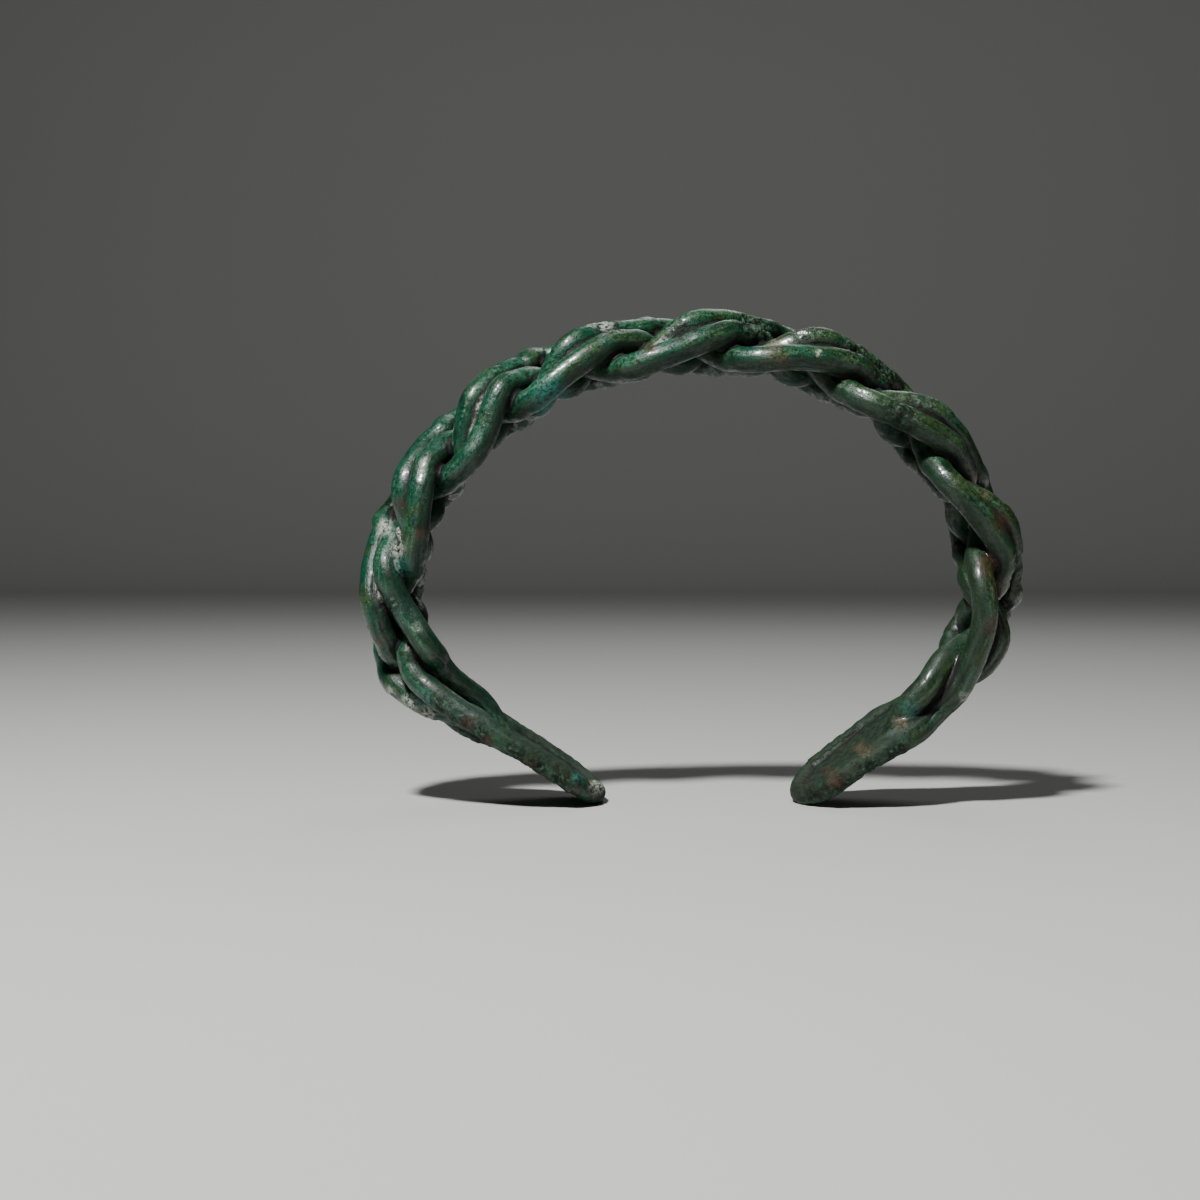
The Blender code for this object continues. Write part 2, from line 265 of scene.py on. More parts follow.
# each time a pair of wires passes the front edge, as a share of the hoop's length
PASSES = (0.131, 0.2025, 0.274, 0.347, 0.4135, 0.4964, 0.574, 0.663, 0.7455, 0.819, 0.890)
# how much further out each of those passes stands, in wire diameters
SWELL = (0.20, 0.10, 0.00, 0.35, 0.10, 0.10, 0.25, 0.15, 0.20, 0.00, 0.00)
PLAIT_START = 0.163               # the plaiting opens into the terminals at these shares
PLAIT_END = 0.880
STRANDS = 3
TURN = 2 * math.pi / STRANDS
TURN_BLUR = 12                    # stations over which an uneven pace is evened out
LANE_STEPS = 12
# turn in degrees (0 at the front edge), depth and height in wire diameters
OUTER_LANE = (
    (-90, -0.35, -0.45), (-45, 0.70, -0.32), (0, 1.23, 0.30), (45, 0.95, 0.68),
    (90, -0.14, 0.42), (135, -1.23, 0.00), (180, -1.61, -0.15), (225, -1.26, 0.15),
)
INNER_LANE = (
    (-90, 0.21, -0.60), (-45, 1.23, -0.68), (0, 1.58, -0.28), (45, 1.19, 0.04),
    (90, 0.21, -0.12), (135, -0.70, -0.30), (180, -1.19, 0.08), (225, -0.84, 0.24),
)


def lane_at(table, turn):
    """Depth and height of a lane at each turn of the plait."""
    lane = np.array(table, float)
    lap = np.array([360.0, 0.0, 0.0])
    smooth = through(np.vstack([lane - lap, lane, lane + lap]), LANE_STEPS)
    degrees = (np.degrees(turn) + 90.0) % 360.0 - 90.0
    return [np.interp(degrees, smooth[:, 0], smooth[:, k]) for k in (1, 2)]


def plait_lanes():
    """The six wires in their lanes, in pairs: outer wire, inner wire."""
    share = hoop.s / hoop.length
    turning = np.interp(np.clip(share, PLAIT_START, PLAIT_END), PASSES, np.arange(len(PASSES)) * TURN)
    turning = blur(turning, TURN_BLUR)
    swell = np.interp(share, PASSES, SWELL)
    lanes = []
    for strand in range(STRANDS):
        for table in (OUTER_LANE, INNER_LANE):
            depth, height = lane_at(table, turning - TURN * strand)
            lanes.append(np.stack([depth, height + swell * np.clip(depth, 0.0, 1.0)], -1))
    return np.array(lanes) * WIRE_DIAMETER


plaited = plait_lanes()
print(len(plaited), "wires,", plaited.shape[1], "stations each")

# %% [markdown]
# ## From the plait to the terminals
# Toward each tip the plait is pressed thinner, and its six wires come to lie side by side in one row.
# That row fills the width of the terminal. Here and there a wire strays from its lane.

# %% Terminal rows
TERMINAL_LENGTH = 20.0
TERMINAL_WIDTH = 15.6
TERMINAL_NECK = 11.0
TAPER_FROM = 11.0                 # a terminal narrows toward its neck from this far from its tip
FORGED_LENGTH = 13.0              # the wires are beaten into each other up to here
TIP_RADIUS = 6.5
WIRE_END = 4.0                    # the wires end this far inside a terminal's tip
FAN_SHARE = 0.160                 # the wires start to spread into one row this far from a tip
FAN_LENGTH_SHARE = 0.060          # and lie flat in it after this length
PRESS_SHARE = 0.225               # the plait is pressed thinner from here towards a tip,
PRESS_LENGTH_SHARE = 0.08         # over this length,
PRESS_KEEP = 0.50                 # down to this share of its height
ROW_INSET = 0.45                  # the row's outer wires lie this far in, in wire diameters
LEFT_ROW = (1, 0, 2, 3, 5, 4)     # wires from front to back
RIGHT_ROW = (1, 3, 0, 2, 5, 4)
RIGHT_TWIST = 5.0                 # degrees that the right terminal's inner face turns to the front
# wire, place and reach as shares of the hoop's length, then how far toward the front and out, in
# wire diameters
STRAYS = (
    (0, 0.160, 0.0235, 0.00, 0.64), (2, 0.175, 0.0250, 0.35, 0.30),
    (3, 0.175, 0.0300, -0.20, -0.55), (1, 0.335, 0.0240, 0.20, -0.90),
    (5, 0.872, 0.0300, 0.00, 0.65), (2, 0.878, 0.0280, 0.00, 0.60),
    (4, 0.885, 0.0300, 0.00, 0.60), (3, 0.886, 0.0200, 1.20, -0.20),
    (1, 0.886, 0.0160, -0.80, 0.15),
)


def terminal_half_width(s):
    """Half the width of a terminal at a distance from its tip: an oval end, then a slow taper."""
    s = np.asarray(s, float)
    end = np.clip(1.0 - s / TIP_RADIUS, 0.0, 1.0)
    oval = np.sqrt(np.clip(1.0 - end**2, 0.0, 1.0))
    taper = smooth_step((s - TAPER_FROM) / (TERMINAL_LENGTH - TAPER_FROM))
    return 0.5 * (TERMINAL_WIDTH * (1.0 - taper) + TERMINAL_NECK * taper) * oval


def spread_into_terminals(lanes):
    """Press the plait thinner and lay its six wires in one row at each end, as they arrive."""
    fan = FAN_SHARE * hoop.length
    ramp = FAN_LENGTH_SHARE * hoop.length
    ends = ((hoop.s, LEFT_ROW, 0.0), (hoop.length - hoop.s, RIGHT_ROW, RIGHT_TWIST))
    for from_tip, order, twist in ends:
        pressed = smooth_step((PRESS_SHARE * hoop.length - from_tip) / (PRESS_LENGTH_SHARE * hoop.length))
        lanes[..., 1] *= 1.0 - (1.0 - PRESS_KEEP) * pressed
        row = terminal_half_width(np.maximum(from_tip, WIRE_END)) - ROW_INSET * WIRE_DIAMETER
        weight = smooth_step((fan - from_tip) / ramp)[:, None]
        for place, wire in enumerate(order):
            slot = row * (1.0 - 2.0 * place / (len(order) - 1))
            target = np.stack([slot, slot * math.tan(math.radians(twist))], -1)
            lanes[wire] = lanes[wire] * (1.0 - weight) + target * weight
    for wire, place, reach, depth, height in STRAYS:
        near = np.exp(-((hoop.s / hoop.length - place) / reach) ** 2)[:, None]
        lanes[wire] += near * np.array([depth, height]) * WIRE_DIAMETER
    return lanes


spread = spread_into_terminals(plaited)
print("widest place of a terminal is", TERMINAL_WIDTH, "mm")

# %% [markdown]
# ## Letting the wires settle
# Real wires can't pass through each other. In each round every wire is bent a little straighter, drawn
# back to its lane, and pushed away from any wire that it overlaps. The last rounds only push.

# %% Settle
WIRE_CLEARANCE = 0.14
FRONT_HEIGHT = 0.76               # no wire lies further in or out than this, in wire diameters,
BACK_HEIGHT = 0.48                # nor further than this along the back edge
ROUNDS = 700
REACH = 9                         # stations each way that can touch
SIDEWAYS = (1.35, 0.55)           # pushed wires give way in depth before they rise
STRAIGHTEN = 0.05                 # shares of each round's moves: toward an even bend,
DRAW_HOME = 0.035                 # toward the lane,
PRESS_BACK = 0.3                  # and back within the greatest height
PUSH = 1.5                        # how hard an overlap pushes
LONGEST_PUSH = 0.09               # in wire diameters, for one round


def bending(points, reach):
    """How far each point is from an evenly bent wire."""
    out = np.zeros_like(points)
    n = reach
    near = 4 * (points[:, n:-3 * n] + points[:, 3 * n:-n])
    out[:, 2 * n:-2 * n] = near - points[:, :-4 * n] - points[:, 4 * n:] - 6 * points[:, 2 * n:-2 * n]
    return out


def contact_push(points):
    """Push apart every two wires that come closer than a diameter and the clearance."""
    push = np.zeros_like(points)
    wires, count = points.shape[:2]
    apart = WIRE_DIAMETER + WIRE_CLEARANCE
    for i in range(wires):
        for j in range(i + 1, wires):
            for shift in range(-REACH, REACH + 1):
                a, b = max(0, -shift), min(count, count - shift)
                gap = points[i, a:b] - points[j, a + shift:b + shift]
                distance = np.sqrt((gap * gap).sum(1))
                overlap = np.maximum(apart - distance, 0.0)
                if not overlap.any():
                    continue
                force = gap * (overlap / np.maximum(distance, 1e-9) * PUSH / REACH)[:, None]
                push[i, a:b] += force
                push[j, a + shift:b + shift] -= force
    return push


def settle(lanes):
    """Let the wires bend and lie against each other, each near its own lane."""
    home = lanes.copy()
    to_tip = np.minimum(hoop.s, hoop.length - hoop.s)
    free = smooth_step(4.0 * to_tip / FORGED_LENGTH - 3.0)[None, :, None]
    step = LONGEST_PUSH * WIRE_DIAMETER

    def to_lane(move):
        rise = move[..., 0] * hoop.outward[:, 0] + move[..., 2] * hoop.outward[:, 1]
        return np.stack([-move[..., 1], rise], -1)

    for done in range(ROUNDS):
        ease = 1.0 - smooth_step(8.0 * done / ROUNDS - 4.5)
        points = hoop.place(lanes)
        lanes += STRAIGHTEN * ease * to_lane(bending(points, 1) + bending(points, 4))
        lanes += DRAW_HOME * ease * (home - lanes)
        front = smooth_step(lanes[..., 0] / (1.2 * WIRE_DIAMETER) + 0.6)
        reach = WIRE_DIAMETER * (BACK_HEIGHT + (FRONT_HEIGHT - BACK_HEIGHT) * front)
        inside = np.clip(lanes[..., 1], -reach, np.maximum(reach, home[..., 1]))
        lanes[..., 1] -= PRESS_BACK * ease * (lanes[..., 1] - inside)
        push = to_lane(contact_push(hoop.place(lanes))) * SIDEWAYS
        lanes += np.clip(push, -step, step) * free
    return lanes


settled = settle(spread)
across = hoop.place(settled)[..., 0]
hoop.middle[:, 0] -= 0.5 * (across.min() + across.max())
settled[..., 0] -= 0.5 * (settled[..., 0].min() + settled[..., 0].max())
wire_lines = hoop.place(settled)
print("wires settled; band is", round(np.ptp(settled[..., 0]) + WIRE_DIAMETER, 1), "mm from front to back")

# %% [markdown]
# ## A wire as a rolled sheet
# A wire could be a curve with a round bevel. Here each one is a flat grid rolled round its line instead,
# because every point then knows how far along and how far round the wire it is. That lets the wire
# change: it swells and thins a little, as hand-drawn wire does, and is beaten flat toward its ends.

# %% Wires
WIRE_RADIUS = 1.46                # a little over the solid's, so that neighbours touch
RINGS = 520
SIDES = 28
RIM_WIRES = {"left": (LEFT_ROW[0], LEFT_ROW[-1]), "right": (RIGHT_ROW[0], RIGHT_ROW[-1])}
FLAT_FROM = 18.0                  # beaten flat between these distances from a tip
FLAT_TO = 11.0
RIM_THINNED = 0.14                # share of its height that a wire loses where it makes the rim,
TRAY_THINNED = 0.66               # or where it lies in the tray
TRAY_SINK = 0.55                  # how far outward it then lies
UNEVEN = 0.022                    # share by which a wire's thickness wanders,
WANDER_LENGTH = 9.0               # over about this length


def rolled_sheet(rows, sides):
    """A grid of rows by sides, rolled up: its mesh, and how far along and round each point is."""
    bm = bmesh.new()
    bmesh.ops.create_grid(bm, x_segments=rows, y_segments=sides, size=1.0)
    along = np.array([0.5 * (vert.co.x + 1.0) for vert in bm.verts])
    around = np.array([math.pi * vert.co.y for vert in bm.verts])
    return bm, along, around


def close_tube(bm, points):
    """Move a rolled sheet's points into place, weld its seam and close its ends."""
    for vert, point in zip(bm.verts, points):
        vert.co = point * MM
    bmesh.ops.remove_doubles(bm, verts=bm.verts, dist=0.001 * MM)
    ends = [edge for edge in bm.edges if edge.is_boundary]
    bmesh.ops.holes_fill(bm, edges=ends, sides=0)
    bmesh.ops.recalc_face_normals(bm, faces=bm.faces)
    return bm


def wire_frame(line, outward):
    """Direction, outward normal and sideways normal at each station of a line."""
    ahead = np.gradient(line, axis=0)
    ahead /= np.linalg.norm(ahead, axis=1, keepdims=True)
    out = np.stack([outward[:, 0], np.zeros(len(outward)), outward[:, 1]], -1)
    out -= (out * ahead).sum(1, keepdims=True) * ahead
    out /= np.linalg.norm(out, axis=1, keepdims=True)
    return ahead, out, np.cross(ahead, out)


def along_line(values, s):
    return np.stack([np.interp(s, hoop.s, values[:, k]) for k in range(values.shape[1])], -1)


def wire_mesh(index):
    """One wire of the plait, beaten flat at its ends."""
    bm, along, around = rolled_sheet(RINGS, SIDES)
    line = wire_lines[index]
    ahead, out, side = wire_frame(line, hoop.outward)
    s = WIRE_END + along * (hoop.length - 2 * WIRE_END)
    wander = np.array([noise.noise(Vector((v / WANDER_LENGTH, 7.3 * index, 0.0))) for v in hoop.s])
    radius = WIRE_RADIUS * (1.0 + UNEVEN * np.interp(s, hoop.s, wander))
    flat_left = smooth_step((FLAT_FROM - s) / (FLAT_FROM - FLAT_TO))
    flat_right = smooth_step((FLAT_FROM - (hoop.length - s)) / (FLAT_FROM - FLAT_TO))
    thin, sink = np.ones(len(s)), np.zeros(len(s))
    for side_name, flat in (("left", flat_left), ("right", flat_right)):
        rim = index in RIM_WIRES[side_name]
        thin -= flat * (RIM_THINNED if rim else TRAY_THINNED)
        sink += flat * (0.0 if rim else TRAY_SINK)
    centre = along_line(line, s) + sink[:, None] * along_line(out, s)
    up = (radius * thin * np.cos(around))[:, None] * along_line(out, s)
    aside = (radius * np.sin(around))[:, None] * along_line(side, s)
    return close_tube(bm, centre + up + aside)


wires = [wire_mesh(index) for index in range(len(wire_lines))]
print("each wire has", len(wires[0].verts), "points")

# %% [markdown]
# ## The terminals
# Each terminal is a shallow oval tray: a thin plate with a raised rim, which is the outermost wire
# beaten round the tip. The plate is a grid that follows the hoop and gets a wall by Solidify. The rim is
# another rolled sheet, round an oval path.

# %% Plates and rims
PLATE_THICKNESS = 1.45
PLATE_OUTSIDE = 1.05              # the plate lies toward the outer face, so the inner face is a tray
PLATE_INSET = 0.7                 # its edge is hidden in the rim
PLATE_GRID = (60, 30)
RIM_RADIUS = 1.20
RIM_REACH = 17.0                  # each end of the rim has faded out this far from the tip
RIM_TURNS = 160
RIM_STATIONS = 400
RIM_THINS = 0.45                  # share of its radius that the rim loses at its ends,
THINS_FROM = 0.8                  # from this share of its half length,
THINS_OVER = 0.2                  # over this share


def from_tip_to_line(from_tip, right):
    return hoop.length - from_tip if right else from_tip


def twist_height(depth, right):
    """How far a terminal's twist raises a point at a depth toward the front."""
    return depth * math.tan(math.radians(RIGHT_TWIST)) if right else 0.0 * depth


def plate_mesh(right):
    bm = bmesh.new()
    bmesh.ops.create_grid(bm, x_segments=PLATE_GRID[0], y_segments=PLATE_GRID[1], size=1.0)
    along = np.array([0.5 * (vert.co.x + 1.0) for vert in bm.verts])
    across = np.array([vert.co.y for vert in bm.verts])
    from_tip = PLATE_INSET + (TERMINAL_LENGTH - PLATE_INSET) * (0.002 + 0.998 * along**1.6)
    half = np.maximum(terminal_half_width(from_tip) - PLATE_INSET, 0.05)
    depth = half * across * (-1.0 if right else 1.0)    # so that both thicken inward
    height = PLATE_OUTSIDE + twist_height(depth, right)
    points = hoop.points(from_tip_to_line(from_tip, right), depth, height)
    for vert, point in zip(bm.verts, points):
        vert.co = point * MM
    bmesh.ops.recalc_face_normals(bm, faces=bm.faces)
    bmesh.ops.solidify(bm, geom=bm.faces[:], thickness=PLATE_THICKNESS * MM)
    bmesh.ops.recalc_face_normals(bm, faces=bm.faces)
    return bm


def rim_path(right, count):
    """Points round the terminal's edge, from the front side round the tip to the back side."""
    share = np.linspace(-1.0, 1.0, count)
    bend = 0.5 * math.pi * (TIP_RADIUS - RIM_RADIUS)
    straight = RIM_REACH - TIP_RADIUS
    run = share * (bend + straight)
    angle = np.clip(run / bend, -1.0, 1.0) * 0.5 * math.pi
    past = np.maximum(np.abs(run) - bend, 0.0)
    from_tip = TIP_RADIUS - (TIP_RADIUS - RIM_RADIUS) * np.cos(angle) + past
    half = np.where(past > 0, terminal_half_width(np.maximum(from_tip, TIP_RADIUS)), 0.5 * TERMINAL_WIDTH)
    depth = -(half - RIM_RADIUS) * np.sin(angle)
    return from_tip, depth, share


def rim_mesh(right):
    bm, along, around = rolled_sheet(RIM_TURNS, SIDES)
    from_tip, depth, share = rim_path(right, RIM_STATIONS)
    line = hoop.points(from_tip_to_line(from_tip, right), depth, twist_height(depth, right))
    outward = along_line(hoop.outward, from_tip_to_line(from_tip, right))
    ahead, out, side = wire_frame(line, outward)
    place = along * 2.0 - 1.0

    def at(values):
        return np.stack([np.interp(place, share, values[:, k]) for k in range(3)], -1)

    radius = RIM_RADIUS * (1.0 - RIM_THINS * smooth_step((np.abs(place) - THINS_FROM) / THINS_OVER))
    points = at(line) + (radius * np.cos(around))[:, None] * at(out)
    points = points + (radius * np.sin(around))[:, None] * at(side)
    return close_tube(bm, points)


plates = [plate_mesh(right) for right in (False, True)]
rims = [rim_mesh(right) for right in (False, True)]
print("plate", len(plates[0].verts), "points, rim", len(rims[0].verts), "points")

# %% [markdown]
# ## Fusing the metal
# Corrosion has welded the wires where they touch, so the bracelet is one closed skin. A Boolean would
# leave knife-sharp valleys. A voxel remesh instead wraps all the pieces in one even skin, and a little
# smoothing afterwards rounds the valleys as corrosion does.

# %% Fuse
VOXEL = 0.19
SMOOTH_ROUNDS = 2
SMOOTHING = 0.5


def join(parts):
    whole = bmesh.new()
    for part in parts:
        mesh = bpy.data.meshes.new("part")
        part.to_mesh(mesh)
        part.free()
        whole.from_mesh(mesh)
        bpy.data.meshes.remove(mesh)
    return object_from("bracelet", whole)


def with_modifier_done(obj, name, kind, **settings):
    """The object's mesh after one modifier, in place of its own."""
    modifier = obj.modifiers.new(name, kind)
    for key, value in settings.items():
        setattr(modifier, key, value)
    done = bpy.data.meshes.new_from_object(obj.evaluated_get(bpy.context.evaluated_depsgraph_get()))
    obj.modifiers.remove(modifier)
    old = obj.data
    obj.data = done
    bpy.data.meshes.remove(old)
    return obj


bracelet = join(wires + plates + rims)
with_modifier_done(bracelet, "fused skin", "REMESH", mode="VOXEL", voxel_size=VOXEL * MM)
skin = bmesh.new()
skin.from_mesh(bracelet.data)
for _ in range(SMOOTH_ROUNDS):
    bmesh.ops.smooth_vert(skin, verts=skin.verts, factor=SMOOTHING,
                          use_axis_x=True, use_axis_y=True, use_axis_z=True)
skin.to_mesh(bracelet.data)
skin.free()
print("fused skin has", len(bracelet.data.polygons), "faces")

# %% [markdown]
# ## Where a point lies on the plait
# Wear, dirt and colour follow the wires: scratches run along them, and dirt and painted shade lie between
# them. So each point of the skin is told which wire it is on, how far along and how far round, and how
# close the next wire is. The hoop's nearest station narrows the search to a few stations of each wire.

# %% Places on the plait
WINDOW = 14                       # stations each way of the nearest one that are searched
CHUNK = 20000                     # points looked at together
CREVICE_REACH = 0.60              # a valley ends this far from the neighbouring wire's surface


def mesh_points(mesh):
    co = np.empty(len(mesh.vertices) * 3, np.float32)
    mesh.vertices.foreach_get("co", co)
    return co.reshape(-1, 3).astype(float) / MM


def mesh_normals(mesh):
    normal = np.empty(len(mesh.vertices) * 3, np.float32)
    mesh.vertex_normals.foreach_get("vector", normal)
    return normal.reshape(-1, 3).astype(float)


def nearest_station(points):
    found = np.empty(len(points), int)
    flat = points[:, [0, 2]]
    for start in range(0, len(points), CHUNK):
        chunk = flat[start:start + CHUNK]
        away = ((chunk[:, None] - hoop.middle[None]) ** 2).sum(-1)
        found[start:start + CHUNK] = away.argmin(1)
    return found


def places_on_plait(points):
    """For each point: distance to each wire's line, and its own wire's run, turn and number."""
    station = nearest_station(points)
    window = np.arange(-WINDOW, WINDOW + 1)
    near = np.clip(station[:, None] + window, 0, STATIONS - 1)
    distance = np.empty((len(points), len(wire_lines)))
    run = np.empty_like(distance)
    turn = np.empty_like(distance)
    for wire, line in enumerate(wire_lines):
        ahead, out, side = wire_frame(line, hoop.outward)
        away = np.empty((len(points), len(window)), np.float32)
        for column in range(len(window)):
            away[:, column] = ((points - line[near[:, column]]) ** 2).sum(1)
        best = near[np.arange(len(points)), away.argmin(1)]
        gap = points - line[best]
        past = (gap * ahead[best]).sum(1)
        gap -= past[:, None] * ahead[best]
        distance[:, wire] = np.linalg.norm(gap, axis=1)
        run[:, wire] = hoop.s[best] + past
        turn[:, wire] = np.arctan2((gap * side[best]).sum(1), (gap * out[best]).sum(1))
    own = distance.argmin(1)
    rows = np.arange(len(points))
    second = np.sort(distance, axis=1)[:, 1]
    crevice = np.exp(-np.maximum(second - WIRE_RADIUS, 0.0) ** 2 / CREVICE_REACH**2)
    middle_s = hoop.s[station]
    from_tip = np.minimum(middle_s, hoop.length - middle_s)
    crevice *= smooth_step((from_tip - FLAT_TO) / (FLAT_FROM - FLAT_TO))
    return {
        "wire": own, "run": run[rows, own], "turn": turn[rows, own],
        "crevice": crevice, "from_tip": from_tip, "s": middle_s,
    }


skin_points = mesh_points(bracelet.data)
on_plait = places_on_plait(skin_points)
print("points on each wire:", np.bincount(on_plait["wire"]).tolist())

# %% [markdown]
# ## The marks of age
# Corrosion is local. The list gives each spot that stands out on the real bracelet: where it lies on
# the side that faces the viewer, how far it reaches, and what it is. Each becomes a soft mask, used
# both for the relief now and for the colour later.

# %% Spots of age
# (x, z, reach) in millimetres on the front side
SPOTS = {
    "eroded": (
        (-9.6, 53.0, 1.8), (6.6, 53.0, 2.6), (12.0, 52.0, 1.6), (17.5, 50.6, 2.0), (21.5, 48.0, 2.2),
        (24.6, 44.8, 1.8), (22.0, 42.4, 2.4), (-28.5, 10.6, 2.2), (-24.0, 8.0, 2.0), (36.6, 26.0, 2.6),
        (-10.2, 1.8, 1.8), (34.8, 34.0, 2.0), (-15.0, 3.6, 1.6), (-20.0, 5.8, 1.8), (-17.5, 4.8, 1.5),
        (-26.0, 9.2, 1.8), (12.6, 1.6, 1.6), (15.5, 2.6, 1.6), (18.5, 4.4, 1.7), (21.5, 6.4, 1.6),
        (-33.6, 22.0, 1.6), (-2.0, 52.0, 1.4),
    ),
    "groove_fill": (
        (-22.9, 43.6, 1.3), (-23.4, 41.0, 1.5), (-33.6, 29.5, 1.6), (-34.4, 26.5, 1.6), (-34.0, 24.0, 1.4),
        (-18.8, 38.4, 0.8), (29.2, 12.3, 0.9),
    ),
    "pale_crust": (
        (-34.2, 12.0, 1.0), (-31.8, 11.0, 1.2), (-29.6, 10.2, 0.9), (29.2, 12.0, 0.7), (13.0, 49.5, 0.3),
        (-10.8, 2.2, 1.1), (-34.4, 30.6, 0.9), (-32.6, 28.2, 0.9), (-10.0, 52.8, 0.8), (-11.5, 53.0, 0.6),
    ),
    "rust": (
        (-25.1, 9.4, 0.9), (-22.9, 7.4, 0.9), (-13.4, 1.9, 0.7), (-30.1, 29.8, 0.8), (-5.1, 49.8, 0.9),
        (32.0, 20.0, 1.2), (30.5, 36.0, 1.0), (-18.5, 5.0, 0.8), (31.5, 26.5, 1.4), (33.0, 31.0, 1.2),
        (-32.4, 33.0, 0.9), (15.0, 3.0, 1.0),
    ),
    "earth": (
        (7.9, 49.5, 1.0), (8.6, 50.4, 0.8), (31.4, 34.3, 0.8), (34.2, 20.5, 1.0), (-35.0, 18.0, 0.9),
        (22.0, 9.4, 0.9), (18.0, 6.4, 0.8), (14.5, 4.6, 0.7), (32.6, 24.0, 1.2), (9.0, 48.6, 0.9),
    ),
    "turquoise": (
        (23.2, 10.8, 1.0), (12.1, 3.6, 0.7), (-32.0, 26.5, 1.2), (-27.0, 19.5, 1.6), (-16.0, 44.5, 2.2),
        (-30.0, 12.0, 1.2), (25.5, 31.0, 1.2), (-13.0, 3.4, 0.7),
    ),
}
# a hollow in the tray by the left tip: distance from the tip, place across, half length, half width
SLOT = (3.7, 1.5, 1.1, 0.8)


def spot_mask(points, kind):
    """How strongly each point lies in the spots of one kind, from 0 to 1, fading toward the back."""
    mask = np.zeros(len(points))
    for x, z, reach in SPOTS[kind]:
        away = np.hypot(points[:, 0] - x, points[:, 2] - z) / reach
        mask = np.maximum(mask, 1.0 - smooth_step(away - 0.35))
    return mask * smooth_step(0.9 - 0.35 * points[:, 1])


def slot_mask(points, place):
    """How deep each point lies in the hollow by the left tip, from 0 to 1."""
    start, middle, half_length, half_width = SLOT
    away = np.hypot((place["s"] - start) / half_length, (points[:, 1] - middle) / half_width)
    return smooth_step(1.7 - away) * smooth_step(0.4 - 2.0 * np.cos(place["turn"]))


def noise_over(points, scale, shift=0.0, octaves=1):
    """Smooth noise from about -1 to 1 whose bumps are scale millimetres across."""
    offset = Vector((shift, 2.0 * shift, -shift))
    if octaves == 1:
        return np.array([noise.noise(Vector(p) / scale + offset) for p in points])
    return np.array([noise.fractal(Vector(p) / scale + offset, 0.9, 2.1, octaves) for p in points])


def wire_space(place):
    """Coordinates that follow each wire: round it, and along it."""
    turn = place["turn"]
    shift = 11.0 * place["wire"]
    return np.stack([WIRE_RADIUS * np.cos(turn) + shift, WIRE_RADIUS * np.sin(turn), place["run"]], -1)


masks = {kind: spot_mask(skin_points, kind) for kind in SPOTS}
masks["slot"] = slot_mask(skin_points, on_plait)
print("share of the skin that is eroded:", round(float((masks["eroded"] > 0.5).mean()), 3))

# %% [markdown]
# ## Relief
# The hammer left broad, shallow facets and fine lines along the wires. Corrosion left grain
# everywhere, and deep pits where the metal is eroded. Each is a layer of noise with its own size and
# depth, and the sum moves every point along its normal.

# %% Shape the skin
FACET = (3.0, 0.050)              # size and depth in millimetres
LINES = (0.9, 0.030)
GRAIN = (0.50, 0.036)
PITS = (0.95, 0.20)
CRUST = (0.6, 0.12)
SLOT_DEPTH = 0.7                  # of the hollow in the left tip
ROUGH_END = 19.0                  # the terminals are rougher up to here from a tip,
ROUGH_FADE = 5.0                  # fading over this length
PATCH = 5.0                       # size of the patches of rougher metal
PATCH_ROUGH = 0.24                # how rough these patches and the terminals are, where eroded is 1
END_ROUGH = 0.38
STRETCH = 7.0                     # drawn lines are this many times longer than wide
# seams along a wire: wire, start and end in shares of the hoop, angle round the wire, depth
SEAMS = (
    (2, 0.17, 0.27, 100, 0.16), (3, 0.60, 0.70, 70, 0.12), (4, 0.66, 0.80, 95, 0.18),
    (0, 0.80, 0.90, 60, 0.16), (1, 0.82, 0.92, 100, 0.14), (5, 0.30, 0.42, 80, 0.10),
)
SEAM_WIDTH = 0.16                 # radians


def seam_depth(place):
    share = place["run"] / hoop.length
    depth = np.zeros(len(share))
    for wire, start, end, angle, deep in SEAMS:
        within = smooth_step((share - start) / 0.015) * smooth_step((end - share) / 0.015)
        off = (place["turn"] - math.radians(angle) + math.pi) % (2 * math.pi) - math.pi
        groove = np.exp(-((off / SEAM_WIDTH) ** 2))
        depth += np.where(place["wire"] == wire, deep * within * groove, 0.0)
    return depth


def relief(points, place, masks):
    own = wire_space(place)
    stretched = own * np.array([1.0, 1.0, 1.0 / STRETCH])
    patchy = smooth_step(1.6 * noise_over(points, PATCH, 3.1) + 0.45)
    worn_end = smooth_step((ROUGH_END - place["from_tip"]) / ROUGH_FADE)
    rough = np.maximum.reduce([masks["eroded"], PATCH_ROUGH * patchy, END_ROUGH * worn_end])
    height = FACET[1] * noise_over(points, FACET[0], 1.0)
    height += LINES[1] * noise_over(stretched, LINES[0], 5.0)
    height += GRAIN[1] * (0.35 + rough) * noise_over(points, GRAIN[0], 9.0)
    pitted = noise_over(points, PITS[0], 13.0, octaves=3)
    height -= PITS[1] * rough * smooth_step(0.5 + 1.2 * pitted)
    height += CRUST[1] * masks["pale_crust"] * (0.4 + noise_over(points, CRUST[0], 17.0))
    height -= SLOT_DEPTH * masks["slot"]
    return height - seam_depth(place)


shaped = skin_points + relief(skin_points, on_plait, masks)[:, None] * mesh_normals(bracelet.data)
print("relief goes from", round(float((shaped - skin_points).min()), 2), "mm")

# %% [markdown]
# ## Into the solid's box
# The new skin must stay as large as the solid. Each axis is eased by a fraction of a percent so that it
# fills the same box, and what would lie under the floor is pressed up to it, as a worn foot is.

# %% Fit the box
low, high = (np.array(corner) / MM for corner in solid_box)


